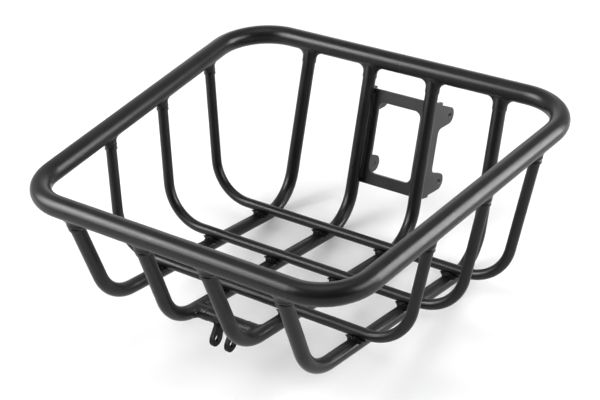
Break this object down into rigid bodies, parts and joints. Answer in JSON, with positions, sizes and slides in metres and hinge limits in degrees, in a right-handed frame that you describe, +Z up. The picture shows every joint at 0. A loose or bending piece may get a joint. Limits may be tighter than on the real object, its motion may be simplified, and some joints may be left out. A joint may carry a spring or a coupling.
{
  "type": "handlebar basket",
  "caption": "Open welded tube basket with a closed round rim, hoops crossing under it and a folded screw-on bracket at the rear.",
  "frame": {"origin": "middle of the bracket's upper screw axis, between its two flanges", "axes": "+Z up, square to the rim's plane; +Y from the basket towards the bicycle; +X across the width, along the screw axes"},
  "size_m": [0.3888, 0.4101, 0.1743],
  "materials": {
    "tube_coat": "satin black powder coat",
    "weld_coat": "satin black powder coat over weld metal",
    "sheet_coat": "satin black powder coat"
  },
  "bodies": {
    "root": {"rim_tube": "tube_coat", "rim_seam_weld": "weld_coat", "long_hoop_1": "tube_coat", "long_hoop_2": "tube_coat", "long_hoop_3": "tube_coat", "long_hoop_4": "tube_coat", "cross_hoop_1": "tube_coat", "cross_hoop_2": "tube_coat", "cross_hoop_3": "tube_coat", "front_rim_welds": "weld_coat", "rear_rim_welds": "weld_coat", "left_rim_welds": "weld_coat", "right_rim_welds": "weld_coat", "floor_welds_1": "weld_coat", "floor_welds_2": "weld_coat", "floor_welds_3": "weld_coat", "rear_bracket": "sheet_coat", "bracket_welds_left": "weld_coat", "bracket_welds_right": "weld_coat", "under_bar": "tube_coat", "under_bar_welds": "weld_coat", "tab_left": "sheet_coat", "tab_right": "sheet_coat", "tab_welds": "weld_coat"}
  },
  "joints": []
}
